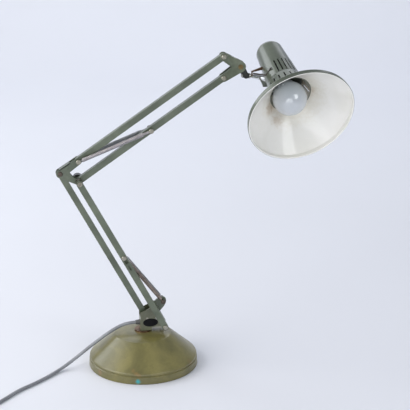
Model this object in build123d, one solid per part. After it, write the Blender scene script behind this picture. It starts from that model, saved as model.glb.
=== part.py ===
from build123d import *
import math
import os

# Architect desk lamp, millimetres. +Z is up, the origin is the centre of the base's underside.
# The arm moves in the X-Z plane, the lamp head looks toward -Y, and +X is the lamp's right.

# ---------------------------------------------------------------- driving dimensions
# clearances
TURN_FIT = 0.05          # a pin in the hole that turns on it, on the radius
FACE_GAP = 0.1           # between two faces that slide past each other
TOUCHING = 0.02          # between two fixed parts that sit against each other

# base
BASE_RADIUS = 100.0
BASE_WALL_HEIGHT = 13.2
BASE_GROOVE_DEPTH = 1.6
BASE_BEAD_HEIGHT = 20.5
BASE_BEAD_SETBACK = 2.2
BASE_CREST_RADIUS = 52.0
BASE_CREST_HEIGHT = 60.3
BASE_TOP_RADIUS = 16.0
BASE_TOP_HEIGHT = 64.7
BASE_SHEET = 1.8
BASE_DRAFT = 0.6         # lean of the pressed wall, on the radius
PAD_THICKNESS = 2.4
PAD_RECESS = 0.6
BALLAST_HEIGHT = 12.0
BEARING_RADIUS = 8.0
SPINDLE_RADIUS = 3.6
SPINDLE_NUT_RADIUS = 7.5
SPINDLE_NUT_HEIGHT = 6.0
COLLAR_RADIUS = 15.4
COLLAR_HEIGHT = 2.4
WASHER_THICKNESS = 0.5

# sheet metal of the arm and its plates
SHEET = 1.5
CHANNEL_SHEET = 1.2
BRACKET_HALF_WIDTH = 12.0
PLATE_HALF_WIDTH = 6.5
LOWER_BAR_WIDTH = 10.8
LOWER_BAR_DEPTH = 7.8
FRONT_BAR_WIDTH = 11.3
FRONT_BAR_DEPTH = 9.0
FRONT_BAR_NEAR_Y = -22.0
UPPER_BAR_WIDTH = 11.2
UPPER_BAR_DEPTH = 9.4
WINDOW_SIZE = (8.0, 6.0)
SLIT_SIZE = (11.0, 2.7)

# pivots and lengths of the two parallelogram arms
REAR_PIVOT = (6.5, 91.0)
LOWER_LENGTH = 320.0
LOWER_ANGLE = 117.9
LOWER_OFFSET = 36.1
LOWER_OFFSET_ANGLE = -26.0
UPPER_LENGTH = 314.0
UPPER_ANGLE = 34.2
UPPER_OFFSET = 37.8
HEAD_PIVOT_REACH = 29.8
PIN_RADIUS = 2.2
PIN_HEAD_RADIUS = 4.4
PIN_HEAD_HEIGHT = 2.0

# springs
LOWER_SPRING_PIVOT = (36.8, 121.3)
LOWER_SPRING_REACH = 158.4
LOWER_SPRING_Y = 8.4
UPPER_SPRING_REACH = 156.2
UPPER_SPRING_Y = 10.7
SPRING_RADIUS = 3.7
SPRING_WIRE = 0.65
SPRING_PITCH = 2.0
SPRING_LEAD = 9.0
LOWER_COIL_LENGTH = 97.0
UPPER_COIL_LENGTH = 114.0
HOOK_OVERLAP = 15.0

# bracket and ear
BRACKET_BACK_X = -5.5
BRACKET_NOTCH_REACH = 40.0
BRACKET_WEB_TOP = 102.8
BRACKET_NOTCH = 93.0
BRACKET_TOP_SLOPE = 25.9
BRACKET_STEP = (15.2, 73.4)
EAR_HALF_THICKNESS = 1.75
EAR_TIP_RADIUS = 6.6
EAR_UPPER_EDGE = ((20.0, 118.9), (28.4, 125.6))
EAR_LOWER_EDGE = ((39.3, 109.6), (31.5, 100.3), (31.5, 84.0), (19.0, 84.0))
EAR_RIVETS = ((25.0, 106.5), (24.5, 91.0))
LABEL_CENTRE = (12.6, 82.9)
LABEL_RADII = (13.7, 7.8)
LABEL_THICKNESS = 0.5

# lamp head: the shade's axis is given by the rim centre and two angles
RIM_OFFSET = (82.688, -123.5, -63.174)    # shade rim from the tilt pivot
HEAD_YAW = 7.6
HEAD_PITCH = 25.3
SHADE_RADIUS = 95.0
SHADE_BAND = 8.0
SHADE_SHEET = 1.2
SHADE_BEAD = 1.5
NECK_START = 60.0
NECK_END = 92.0
NECK_RADIUS = 37.0
HOUSING_START = 93.0
HOUSING_RADIUS = 30.5
HOUSING_BACK = 180.0
HOUSING_BACK_RADIUS = 24.2
HOUSING_END = 193.0
HOUSING_SHEET = 1.3
NECK_STEP = 1.4
NECK_OVERHANG = 0.5
NECK_SLOTS = 20
NECK_SLOT_WIDTH = 2.5
NECK_SLOT_START = 63.0
NECK_SLOT_END = 84.0
VENT_WIDTH = 2.3
VENT_START = 94.0
VENT_LENGTH = 33.0
VENT_PITCH = 14.5
VENTS_IN_GROUP = 6
VENT_TURN = 97.0
BULB_RADIUS = 30.0
BULB_CENTRE = 50.0
BULB_GLASS = 1.0
CAP_RADIUS = 13.0
CAP_START = 96.0
CAP_SHOULDER = 100.5
CAP_END = 122.0
THREAD_RIDGES = 4
HOLDER_RADIUS = 16.5
HOLDER_END = 129.5
BRIDGE_THICKNESS = 1.6
LAMP_SHIFT = 5.0
BUTTON_RADIUS = 4.5
BUTTON_TRAVEL = 3.0
BUTTON_INSIDE = 15.0
SWITCH_DEPTH = 22.0
SWITCH_CASE = 15.0
SWITCH_SLEEVE = 8.0
SWITCH_NUT = 2.2

# swivel tube between the tilt block and the housing
TUBE_OFFSET = (4.888, -16.074)
TUBE_ANGLE = -8.8
TUBE_LENGTH = 36.0
TUBE_RADIUS = 3.25
TUBE_WALL = 1.0
BARREL_RADIUS = 4.7
BARREL_LENGTH = 11.0
SADDLE_START = 18.0
SADDLE_COLLAR = 10.0
SADDLE_HALF_WIDTH = 6.0
SADDLE_TAB = ((31.8, -19.4), (37.3, -29.4), (40.8, -38.0), (50.8, -38.0), (53.3, -18.4))
STAY_OUTLINE = (
    (19.5, -8.5), (19.5, -11.0), (40.3, -6.8), (49.3, -3.9), (49.3, 1.2), (40.8, -1.0),
)
STAY_FOOT = ((19.5, -8.5), (21.9, -8.5), (21.9, -17.0), (19.5, -16.7))
STAY_SIDES = (-5.2, -3.2)
LEAD_ROUTE = ((22.3, -6.9, -12.2), (32.3, -12.0, -13.2), (40.6, -28.0, -11.6), (47.8, -36.8, 3.8))
LEAD_BEND = 6.0
LEAD_RADIUS = 1.2

# knobs
ELBOW_KNOB_RADIUS = 9.5
ELBOW_KNOB_LENGTH = 16.0
HEAD_KNOB_RADIUS = 5.5
HEAD_KNOB_LENGTH = 18.0

# power cord
CORD_RADIUS = 3.0
GLAND_HEIGHT = 80.5
GLAND_LENGTH = 8.0
GLAND_RADIUS = 5.2
CORD_COIL_RADIUS = 33.0
CORD_COIL_WIDTH = 18.6
CORD_COIL_OUTER_TURN = 39.0
CORD_COIL_HEIGHT = 18.0
CORD_COIL_CENTRE = (-338.0, -186.0)
PLUG_LENGTH = 34.0
PLUG_WIDTH = 30.0
PLUG_HEIGHT = 28.0
PLUG_RELIEF = 22.0


# ---------------------------------------------------------------- places worked out from them
def along(start, angle, distance):
    """Point in the X-Z plane, a distance from the start in a direction given in degrees."""
    turn = math.radians(angle)
    return (start[0] + distance * math.cos(turn), start[1] + distance * math.sin(turn))


def direction(start, end):
    """Direction in degrees from one point of the X-Z plane to another."""
    return math.degrees(math.atan2(end[1] - start[1], end[0] - start[0]))


FRONT_PIVOT = along(REAR_PIVOT, LOWER_OFFSET_ANGLE, LOWER_OFFSET)
ELBOW_REAR = along(REAR_PIVOT, LOWER_ANGLE, LOWER_LENGTH)
ELBOW_FRONT = along(FRONT_PIVOT, LOWER_ANGLE, LOWER_LENGTH)
ELBOW_TOP = along(ELBOW_FRONT, 90.0, UPPER_OFFSET)
HEAD_LOW = along(ELBOW_FRONT, UPPER_ANGLE, UPPER_LENGTH)
HEAD_TOP = along(ELBOW_TOP, UPPER_ANGLE, UPPER_LENGTH)
HEAD_PIVOT = (HEAD_LOW[0] + HEAD_PIVOT_REACH, (HEAD_LOW[1] + HEAD_TOP[1]) / 2)
TUBE_START = (HEAD_PIVOT[0] + TUBE_OFFSET[0], HEAD_PIVOT[1] + TUBE_OFFSET[1])
RIM_CENTRE = (HEAD_PIVOT[0] + RIM_OFFSET[0], RIM_OFFSET[1], HEAD_PIVOT[1] + RIM_OFFSET[2])
BASE_BEAD_RADIUS = BASE_RADIUS - BASE_BEAD_SETBACK
LOWER_HOOK_PIVOT = along(FRONT_PIVOT, LOWER_ANGLE, LOWER_SPRING_REACH)
UPPER_HOOK_PIVOT = along(ELBOW_FRONT, UPPER_ANGLE, UPPER_SPRING_REACH)

FRONT_BAR_FAR_Y = FRONT_BAR_NEAR_Y + FRONT_BAR_DEPTH
FRONT_BAR_Y = (FRONT_BAR_NEAR_Y + FRONT_BAR_FAR_Y) / 2
PLATE_INNER_Y = PLATE_HALF_WIDTH - SHEET
BRACKET_INNER_Y = BRACKET_HALF_WIDTH - SHEET
COLLAR_BOTTOM = BASE_TOP_HEIGHT + WASHER_THICKNESS
COLLAR_TOP = COLLAR_BOTTOM + COLLAR_HEIGHT
BALLAST_TOP = PAD_THICKNESS + BALLAST_HEIGHT

RIM_TO_REAR = Vector(
    -math.sin(math.radians(HEAD_YAW)) * math.cos(math.radians(HEAD_PITCH)),
    math.cos(math.radians(HEAD_YAW)) * math.cos(math.radians(HEAD_PITCH)),
    math.sin(math.radians(HEAD_PITCH)),
)
SHADE_LEFT = Vector(-math.cos(math.radians(HEAD_YAW)), -math.sin(math.radians(HEAD_YAW)), 0)
HEAD_FRAME = Plane(origin=RIM_CENTRE, x_dir=SHADE_LEFT, z_dir=RIM_TO_REAR)

STANDING = (Align.CENTER, Align.CENTER, Align.MIN)


# ---------------------------------------------------------------- shared shapes
def side_plate(outline, near_y, far_y):
    """Solid of an outline drawn in the X-Z plane, between two values of Y."""
    return extrude(Plane.XZ.offset(-far_y) * outline, far_y - near_y)


def disc(spot, radius):
    """Round outline at a point of the X-Z plane."""
    return Pos(spot[0], spot[1]) * Circle(radius)


def rod(spot, near_y, far_y, radius):
    """Round bar along Y through a point of the X-Z plane."""
    return side_plate(disc(spot, radius), near_y, far_y)


def lobes(first, first_radius, second, second_radius):
    """Outline drawn tight round two discs."""
    pair = disc(first, first_radius).edges() + disc(second, second_radius).edges()
    return make_hull(pair)


def pin(spot, near_y, far_y, near_head=True):
    """Pivot pin along Y with a head at its far end and, unless told otherwise, at its near end."""
    shaft = rod(spot, near_y, far_y, PIN_RADIUS)
    ends = [(far_y, 1)] + ([(near_y, -1)] if near_head else [])
    for end, sign in ends:
        inner, outer = sorted((end, end + sign * PIN_HEAD_HEIGHT))
        head = rod(spot, inner, outer, PIN_HEAD_RADIUS)
        rim = head.edges().filter_by(GeomType.CIRCLE).sort_by(Axis.Y)
        shaft += chamfer(rim[-1] if sign > 0 else rim[0], PIN_HEAD_HEIGHT / 3)
    return shaft


def channel(start, angle, length, width, depth, middle_y, web_side, hole_radii):
    """Folded channel bar with round ends; web_side 1 puts the web to the left of its direction."""
    bar = side_plate(SlotCenterToCenter(length, width), -depth / 2, depth / 2)
    bar = Pos(length / 2, 0, 0) * bar
    hollow = Box(length + 2 * width, depth - 2 * CHANNEL_SHEET, width)
    bar -= Pos(length / 2, 0, -web_side * CHANNEL_SHEET) * hollow
    for place, radius in hole_radii:
        bar -= rod((place, 0), -depth, depth, radius)
    return Pos(start[0], middle_y, start[1]) * Rot(0, -angle, 0) * bar


def folded_edge(first, first_radius, second, second_radius, share, half_width):
    """Strip folded across between two cheeks along the left-hand tangent of their outline."""
    gap = math.dist(first, second)
    normal = direction(first, second) + math.degrees(math.acos((first_radius - second_radius) / gap))
    outer = [along(first, normal, first_radius), along(second, normal, second_radius)]
    inner = [along(first, normal, first_radius - SHEET), along(second, normal, second_radius - SHEET)]

    def part_way(line, amount):
        return tuple(a + (b - a) * amount for a, b in zip(*line))

    low, high = share
    corners = [part_way(outer, low), part_way(outer, high), part_way(inner, high), part_way(inner, low)]
    return side_plate(make_face(Polyline(*corners, close=True)), -half_width, half_width)


def ring(plane, outer, inner, length):
    """Tube standing on a plane."""
    return extrude(plane * (Circle(outer) - Circle(inner)), length)


def domed_knob(spot, near_y, radius, length):
    """Round knob along +Y with a well rounded far end."""
    knob = rod(spot, near_y, near_y + length, radius)
    far_edge = knob.edges().filter_by(GeomType.CIRCLE).sort_by(Axis.Y)[-1]
    return fillet(far_edge, radius * 0.6)


# ---------------------------------------------------------------- base
def base_shell():
    """Pressed shell: wall, groove and bead, straight cone, flattened dome with a bearing hole."""
    shoulder = BASE_BEAD_RADIUS - BASE_DRAFT
    wall_top = (BASE_RADIUS - BASE_DRAFT, BASE_WALL_HEIGHT)
    groove = (BASE_RADIUS - BASE_DRAFT - BASE_GROOVE_DEPTH, BASE_WALL_HEIGHT + 1.2)
    dome_rise = BASE_TOP_HEIGHT - BASE_CREST_HEIGHT
    dome_middle = ((BASE_CREST_RADIUS + BASE_TOP_RADIUS) / 2 + 1.5, BASE_CREST_HEIGHT + 0.75 * dome_rise)
    outer = [
        Line((BASE_RADIUS, PAD_RECESS), wall_top),
        Line(wall_top, groove),
        ThreePointArc(
            groove,
            (BASE_BEAD_RADIUS + 0.9, BASE_BEAD_HEIGHT - 2.6),
            (shoulder, BASE_BEAD_HEIGHT),
        ),
        Line((shoulder, BASE_BEAD_HEIGHT), (BASE_CREST_RADIUS, BASE_CREST_HEIGHT)),
        ThreePointArc(
            (BASE_CREST_RADIUS, BASE_CREST_HEIGHT),
            dome_middle,
            (BASE_TOP_RADIUS, BASE_TOP_HEIGHT),
        ),
        Line((BASE_TOP_RADIUS, BASE_TOP_HEIGHT), (BEARING_RADIUS, BASE_TOP_HEIGHT)),
    ]
    inside = groove[0] - BASE_SHEET
    inner = Polyline(
        (BEARING_RADIUS, BASE_TOP_HEIGHT),
        (BEARING_RADIUS, BASE_TOP_HEIGHT - BASE_SHEET),
        (BASE_TOP_RADIUS, BASE_TOP_HEIGHT - BASE_SHEET),
        (BASE_CREST_RADIUS - 1.0, BASE_CREST_HEIGHT - BASE_SHEET),
        (inside - 0.8, BASE_BEAD_HEIGHT - BASE_SHEET),
        (inside, BASE_BEAD_HEIGHT - 2 * BASE_SHEET),
        (inside, PAD_RECESS),
        (BASE_RADIUS, PAD_RECESS),
    )
    return revolve(Plane.XZ * make_face([*outer, *inner.edges()]), Axis.Z)


def base_pad():
    """Round floor pad that the lamp stands on."""
    radius = BASE_RADIUS - BASE_GROOVE_DEPTH - BASE_SHEET - 1.0
    return Pos(0, 0, PAD_THICKNESS / 2) * Cylinder(radius, PAD_THICKNESS)


def base_ballast():
    """Cast disc that fills the bottom of the shell, with a well for the spindle's nut."""
    radius = BASE_RADIUS - BASE_GROOVE_DEPTH - BASE_SHEET - 1.0
    plate = Pos(0, 0, PAD_THICKNESS + BALLAST_HEIGHT / 2) * Cylinder(radius, BALLAST_HEIGHT)
    well = Pos(0, 0, BALLAST_TOP) * Cylinder(SPINDLE_NUT_RADIUS + 1.5, 2 * SPINDLE_NUT_HEIGHT + 2.0)
    return plate - well


def bearing_tube():
    """Tube from the ballast up through the dome, in which the spindle turns."""
    bore = SPINDLE_RADIUS + TURN_FIT
    tube = ring(Plane.XY.offset(BALLAST_TOP), BEARING_RADIUS, bore, BASE_TOP_HEIGHT - BALLAST_TOP)
    foot = ring(Plane.XY.offset(BALLAST_TOP), SPINDLE_NUT_RADIUS + 8.0, SPINDLE_RADIUS + TURN_FIT, SHEET)
    return tube + foot


def collar_washer():
    """Thin bright washer on the dome."""
    bore = SPINDLE_RADIUS + TURN_FIT
    return ring(Plane.XY.offset(BASE_TOP_HEIGHT), COLLAR_RADIUS + 0.4, bore, WASHER_THICKNESS)


def base_collar():
    """Collar ring that the bracket turns on."""
    return ring(Plane.XY.offset(COLLAR_BOTTOM), COLLAR_RADIUS, SPINDLE_RADIUS + TURN_FIT, COLLAR_HEIGHT)


def swivel_spindle():
    """Spindle with its nut, riveted into the foot of the bracket."""
    bottom = BALLAST_TOP - FACE_GAP - SPINDLE_NUT_HEIGHT
    top = COLLAR_TOP + FACE_GAP + SHEET + 0.6
    nut = Pos(0, 0, bottom) * extrude(RegularPolygon(SPINDLE_NUT_RADIUS, 6), SPINDLE_NUT_HEIGHT)
    shaft = ring(Plane.XY.offset(bottom), SPINDLE_RADIUS, 1.5, top - bottom)
    return nut + shaft


# ---------------------------------------------------------------- bracket
def bracket_outline():
    """Side view of a cheek: upright back, sloping top, lobe round the front pivot, step in the foot."""
    lobe = FRONT_BAR_WIDTH / 2 - 0.6
    right = along(FRONT_PIVOT, LOWER_ANGLE - 90, lobe)
    slope = math.tan(math.radians(BRACKET_TOP_SLOPE))
    lean = 1 / math.tan(math.radians(LOWER_ANGLE))
    rise = BRACKET_WEB_TOP + slope * (right[0] - BRACKET_BACK_X - lean * right[1])
    top = rise / (1 - slope * lean)
    outline = Polyline(
        (BRACKET_BACK_X, COLLAR_TOP + FACE_GAP),
        (BRACKET_BACK_X, BRACKET_WEB_TOP),
        (right[0] + lean * (top - right[1]), top),
        right,
        FRONT_PIVOT,
        (FRONT_PIVOT[0] - lobe, FRONT_PIVOT[1] - 0.6),
        BRACKET_STEP,
        (BRACKET_STEP[0], COLLAR_TOP + FACE_GAP),
        close=True,
    )
    return make_face(outline) + disc(FRONT_PIVOT, lobe)


def base_bracket():
    """Bent bracket: two cheeks, a back web and a foot on the spindle."""
    bottom = COLLAR_TOP + FACE_GAP
    body = side_plate(bracket_outline(), -BRACKET_HALF_WIDTH, BRACKET_HALF_WIDTH)
    reach = FRONT_PIVOT[0] - BRACKET_BACK_X + FRONT_BAR_WIDTH
    hollow = Box(reach, 2 * BRACKET_INNER_Y, 3 * reach, align=(Align.MIN, Align.CENTER, Align.MIN))
    body -= Pos(BRACKET_BACK_X + SHEET, 0, bottom + SHEET) * hollow
    folds = body.edges().filter_by(Axis.Z).group_by(Axis.X)[0]
    body = fillet(folds, SHEET * 0.9)
    notch = Box(4 * SHEET, 2 * BRACKET_INNER_Y, BRACKET_NOTCH_REACH, align=STANDING)
    body -= Pos(BRACKET_BACK_X, 0, BRACKET_NOTCH) * notch
    for spot in (REAR_PIVOT, FRONT_PIVOT):
        body -= rod(spot, -20, 20, PIN_RADIUS)
    for spot in EAR_RIVETS:
        body -= rod(spot, -20, 20, PIN_RADIUS)
    body -= Pos(0, 0, bottom) * Cylinder(SPINDLE_RADIUS, 10)
    body -= Pos(BRACKET_BACK_X, 0, GLAND_HEIGHT) * Rot(0, 90, 0) * Cylinder(GLAND_RADIUS - 1.2, 10)
    return body


def spring_ear():
    """Flat plate riveted inside the bracket; its tip carries the lower spring pin."""
    tip = LOWER_SPRING_PIVOT
    shoulder = [(tip[0] - 3.0, tip[1] + 5.0), tip, (tip[0] + 6.4, tip[1] - 4.2)]
    outline = Polyline(*EAR_UPPER_EDGE, *shoulder, *EAR_LOWER_EDGE, close=True)
    plate = make_face(outline) + disc(tip, EAR_TIP_RADIUS)
    ear = side_plate(plate, -EAR_HALF_THICKNESS, EAR_HALF_THICKNESS)
    for spot in (tip, *EAR_RIVETS):
        ear -= rod(spot, -20, 20, PIN_RADIUS)
    return ear


def ear_rivets():
    """Two rivets through the cheeks and the ear, each with a spacer on both sides of the ear."""
    rivets = []
    for spot in EAR_RIVETS:
        rivet = rod(spot, -BRACKET_HALF_WIDTH, BRACKET_HALF_WIDTH, PIN_RADIUS)
        for sign in (-1, 1):
            near, far = sorted((sign * EAR_HALF_THICKNESS, sign * BRACKET_INNER_Y))
            rivet += rod(spot, near, far, PIN_RADIUS + 1.3)
            near, far = sorted((sign * BRACKET_HALF_WIDTH, sign * (BRACKET_HALF_WIDTH + 0.7)))
            rivet += rod(spot, near, far, PIN_RADIUS + 0.6)
        rivets.append(rivet)
    return Compound(children=rivets)


def label_plate():
    """Blank oval plate on the near cheek."""
    oval = Pos(*LABEL_CENTRE) * Ellipse(*LABEL_RADII)
    return side_plate(oval, -BRACKET_HALF_WIDTH - LABEL_THICKNESS, -BRACKET_HALF_WIDTH)


def cord_gland():
    """Rubber gland in the back of the bracket that the power cord comes out of."""
    lip = 1.5
    outside = Cone(GLAND_RADIUS, CORD_RADIUS + 0.9, GLAND_LENGTH, align=STANDING)
    throat = Pos(0, 0, -SHEET) * Cylinder(GLAND_RADIUS - 1.2, SHEET, align=STANDING)
    inside = Pos(0, 0, -SHEET - lip) * Cylinder(GLAND_RADIUS, lip, align=STANDING)
    return Pos(BRACKET_BACK_X, 0, GLAND_HEIGHT) * Rot(0, -90, 0) * (outside + throat + inside)


# ---------------------------------------------------------------- arm bars
def lower_rear_bar():
    """Centre bar of the lower arm, from the bracket to the elbow plate."""
    ends = [(0, PIN_RADIUS + TURN_FIT), (LOWER_LENGTH, PIN_RADIUS + TURN_FIT)]
    return channel(REAR_PIVOT, LOWER_ANGLE, LOWER_LENGTH, LOWER_BAR_WIDTH, LOWER_BAR_DEPTH, 0, -1, ends)


def lower_front_bar():
    """Near-side bar of the lower arm, with a window and a slit below the spring pin."""
    holes = [
        (0, PIN_RADIUS + TURN_FIT),
        (LOWER_SPRING_REACH, PIN_RADIUS),
        (LOWER_LENGTH, PIN_RADIUS + TURN_FIT),
    ]
    bar = channel(
        FRONT_PIVOT, LOWER_ANGLE, LOWER_LENGTH, FRONT_BAR_WIDTH, FRONT_BAR_DEPTH, FRONT_BAR_Y, -1, holes
    )
    for below, size in ((9.0, WINDOW_SIZE), (22.0, SLIT_SIZE)):
        place = along(FRONT_PIVOT, LOWER_ANGLE, LOWER_SPRING_REACH - below)
        cut = Pos(place[0], FRONT_BAR_NEAR_Y, place[1]) * Rot(0, -LOWER_ANGLE, 0)
        bar -= cut * Box(size[0], 3 * CHANNEL_SHEET, size[1])
    return bar


def upper_top_bar():
    """Top bar of the upper arm, from the elbow plate to the head plate."""
    ends = [(0, PIN_RADIUS + TURN_FIT), (UPPER_LENGTH, PIN_RADIUS + TURN_FIT)]
    return channel(ELBOW_TOP, UPPER_ANGLE, UPPER_LENGTH, UPPER_BAR_WIDTH, UPPER_BAR_DEPTH, 0, 1, ends)


def upper_lower_bar():
    """Lower bar of the upper arm; the upper spring pin passes through it half way."""
    holes = [
        (0, PIN_RADIUS + TURN_FIT),
        (UPPER_SPRING_REACH, PIN_RADIUS),
        (UPPER_LENGTH, PIN_RADIUS + TURN_FIT),
    ]
    return channel(ELBOW_FRONT, UPPER_ANGLE, UPPER_LENGTH, UPPER_BAR_WIDTH, UPPER_BAR_DEPTH, 0, 1, holes)


# ---------------------------------------------------------------- elbow and head plates
def two_cheeks(outline):
    """The same outline cut twice, as the two cheeks of a folded plate."""
    near = side_plate(outline, -PLATE_HALF_WIDTH, -PLATE_INNER_Y)
    return near + side_plate(outline, PLATE_INNER_Y, PLATE_HALF_WIDTH)


def elbow_plate():
    """Bent plate that joins both arms: lobes at its three pins and a folded upper edge."""
    big, small, low = 8.0, 6.4, 7.4
    outline = lobes(ELBOW_REAR, big, ELBOW_TOP, small) + lobes(ELBOW_REAR, big, ELBOW_FRONT, low)
    plate = two_cheeks(outline)
    plate += folded_edge(ELBOW_REAR, big, ELBOW_TOP, small, (0.05, 0.62), PLATE_HALF_WIDTH)
    for spot in (ELBOW_REAR, ELBOW_TOP, ELBOW_FRONT):
        plate -= rod(spot, -20, 20, PIN_RADIUS)
    return plate


def head_plate():
    """Bent plate at the end of the upper arm, with the tilt pivot at its nose."""
    ends, nose = 7.0, 9.5
    outline = lobes(HEAD_TOP, ends, HEAD_PIVOT, nose) + lobes(HEAD_LOW, ends, HEAD_PIVOT, nose)
    plate = two_cheeks(outline)
    plate += folded_edge(HEAD_TOP, ends, HEAD_PIVOT, nose, (0.34, 0.66), PLATE_HALF_WIDTH)
    for spot in (HEAD_TOP, HEAD_LOW, HEAD_PIVOT):
        plate -= rod(spot, -20, 20, PIN_RADIUS)
    return plate


def elbow_spacer():
    """Spacer tube between the front bar and the elbow plate."""
    far = -PLATE_HALF_WIDTH
    near = FRONT_BAR_FAR_Y + FACE_GAP
    return rod(ELBOW_FRONT, near, far, 6.0) - rod(ELBOW_FRONT, near - 1, far + 1, PIN_RADIUS)


def front_washer():
    """Washer between the front bar and the bracket."""
    near = FRONT_BAR_FAR_Y + FACE_GAP
    far = -BRACKET_HALF_WIDTH
    return rod(FRONT_PIVOT, near, far, 4.6) - rod(FRONT_PIVOT, near - 1, far + 1, PIN_RADIUS)


def elbow_knob():
    """Domed clamping knob on the far end of the elbow pin."""
    knob = domed_knob(ELBOW_FRONT, PLATE_HALF_WIDTH + 1.2, ELBOW_KNOB_RADIUS, ELBOW_KNOB_LENGTH)
    return knob - rod(ELBOW_FRONT, 0, PLATE_HALF_WIDTH + 9.0, PIN_RADIUS + TURN_FIT)


def head_knob():
    """Small clamping knob on the far end of the head's tilt screw."""
    knob = domed_knob(HEAD_PIVOT, PLATE_HALF_WIDTH + 1.2, HEAD_KNOB_RADIUS, HEAD_KNOB_LENGTH)
    return knob - rod(HEAD_PIVOT, 0, PLATE_HALF_WIDTH + 9.0, PIN_RADIUS + TURN_FIT)


def knob_pin(spot, near_y):
    """Pin with a slotted head on the near side and a bare far end for a knob."""
    far = PLATE_HALF_WIDTH + 8.5
    shaft = rod(spot, near_y, far, PIN_RADIUS)
    head = rod(spot, near_y - PIN_HEAD_HEIGHT, near_y, PIN_HEAD_RADIUS)
    slot = Pos(spot[0], near_y - PIN_HEAD_HEIGHT, spot[1]) * Rot(0, 50, 0)
    head -= slot * Box(2 * PIN_HEAD_RADIUS + 1, PIN_HEAD_HEIGHT, 1.1)
    return shaft + head


# ---------------------------------------------------------------- springs
def spring_end(length):
    """Wire along +X from an eye at the origin, used at both ends of a spring."""
    eye = Rot(90, 0, 0) * Torus(PIN_RADIUS + TURN_FIT + SPRING_WIRE, SPRING_WIRE)
    start = PIN_RADIUS + TURN_FIT + SPRING_WIRE
    stem = Pos(start, 0, 0) * Rot(0, 90, 0) * Cylinder(
        SPRING_WIRE, length - start, align=STANDING
    )
    return eye + stem


def coil_spring(coil_length):
    """Close-wound coil along +X as a ribbed sleeve, one rib to a turn, closed onto its eye wire."""
    crest, root = SPRING_RADIUS, SPRING_RADIUS - SPRING_WIRE
    turns = round(coil_length / SPRING_PITCH)
    pitch = coil_length / turns
    ribs = [
        ThreePointArc(
            (root, SPRING_LEAD + turn * pitch),
            (crest, SPRING_LEAD + (turn + 0.5) * pitch),
            (root, SPRING_LEAD + (turn + 1) * pitch),
        )
        for turn in range(turns)
    ]
    bore = root - SPRING_WIRE
    back = SPRING_LEAD - SPRING_WIRE
    inside = Polyline(
        (root, SPRING_LEAD + coil_length),
        (bore, SPRING_LEAD + coil_length),
        (bore, SPRING_LEAD + SPRING_WIRE),
        (0, SPRING_LEAD + SPRING_WIRE),
        (0, back),
        (bore, back),
        (root, SPRING_LEAD),
    )
    sleeve = revolve(Plane.XZ * make_face([*ribs, *inside.edges()]), Axis.Z)
    return spring_end(SPRING_LEAD) + Rot(0, 90, 0) * sleeve


def placed_on_line(part, start, end, side_y):
    """Puts a spring part that lies along +X onto the line between two pivots."""
    return Pos(start[0], side_y, start[1]) * Rot(0, -direction(start, end), 0) * part


def spring_set(name, fixed, moving, side_y, coil_length):
    """Near and far coil of one spring pair, and the two hooks that reach into them."""
    nodes = {}
    reach = math.dist(fixed, moving)
    hook = spring_end(reach - SPRING_LEAD - coil_length + HOOK_OVERLAP)
    coil = coil_spring(coil_length)
    for place, sign in (("near", -1), ("far", 1)):
        nodes[f"{name}_spring_{place}"] = placed_on_line(coil, fixed, moving, sign * side_y)
    hooks = [placed_on_line(hook, moving, fixed, sign * side_y) for sign in (-1, 1)]
    nodes[f"{name}_spring_hooks"] = Compound(children=hooks)
    return nodes


# ---------------------------------------------------------------- tilt block and swivel tube
def tube_plane(distance):
    """Plane across the swivel tube, a distance from its inner end."""
    turn = math.radians(TUBE_ANGLE)
    axis = Vector(math.cos(turn), 0, math.sin(turn))
    origin = Vector(TUBE_START[0], 0, TUBE_START[1]) + axis * distance
    return Plane(origin=origin, x_dir=(0, 1, 0), z_dir=axis)


def tilt_block():
    """Block that tilts on the head plate's nose pin and carries the swivel tube in its barrel."""
    middle = tube_plane(BARREL_LENGTH / 2).origin
    depth = PLATE_INNER_Y - 0.3
    arm = side_plate(lobes(HEAD_PIVOT, 6.6, (middle.X, middle.Z), 5.0), -depth, depth)
    block = arm + ring(tube_plane(0), BARREL_RADIUS, 1.0, BARREL_LENGTH)
    block -= rod(HEAD_PIVOT, -20, 20, PIN_RADIUS + TURN_FIT)
    block -= extrude(tube_plane(-20) * Circle(TUBE_RADIUS + TURN_FIT), 60)
    block -= extrude(tube_plane(-10) * Circle(BARREL_RADIUS + 0.2), 10)
    block -= extrude(tube_plane(BARREL_LENGTH) * Circle(BARREL_RADIUS + 0.2), 10)
    return block


def swivel_tube():
    """Hollow tube that turns in the barrel, held by a nut and a flange."""
    nut = ring(tube_plane(-FACE_GAP - 2.0), BARREL_RADIUS - 0.4, TUBE_RADIUS - TUBE_WALL, 2.0)
    flange = ring(tube_plane(BARREL_LENGTH + FACE_GAP), BARREL_RADIUS, TUBE_RADIUS - TUBE_WALL, 2.4)
    tube = ring(tube_plane(-FACE_GAP - 2.0), TUBE_RADIUS, TUBE_RADIUS - TUBE_WALL, TUBE_LENGTH)
    return nut + flange + tube


def housing_blank(grow=0.0):
    """Solid of the housing's outer shape, used to cut what sits against it."""
    blank = Cone(HOUSING_RADIUS + grow, HOUSING_BACK_RADIUS + grow, HOUSING_BACK - HOUSING_START)
    middle = (HOUSING_START + HOUSING_BACK) / 2
    return HEAD_FRAME * Pos(0, 0, middle) * blank


def head_outline(corners):
    """Outline in the X-Z plane from corners measured from the tilt pivot."""
    return make_face(Polyline(*[(x + HEAD_PIVOT[0], z + HEAD_PIVOT[1]) for x, z in corners], close=True))


def cut_to_housing(piece):
    """The part of a piece that stays outside the housing and clear of the swivel tube."""
    piece -= housing_blank(TOUCHING)
    piece -= extrude(tube_plane(0) * Circle(TUBE_RADIUS + TOUCHING), 2 * TUBE_LENGTH)
    return piece.solids().sort_by(SortBy.VOLUME)[-1]


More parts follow.
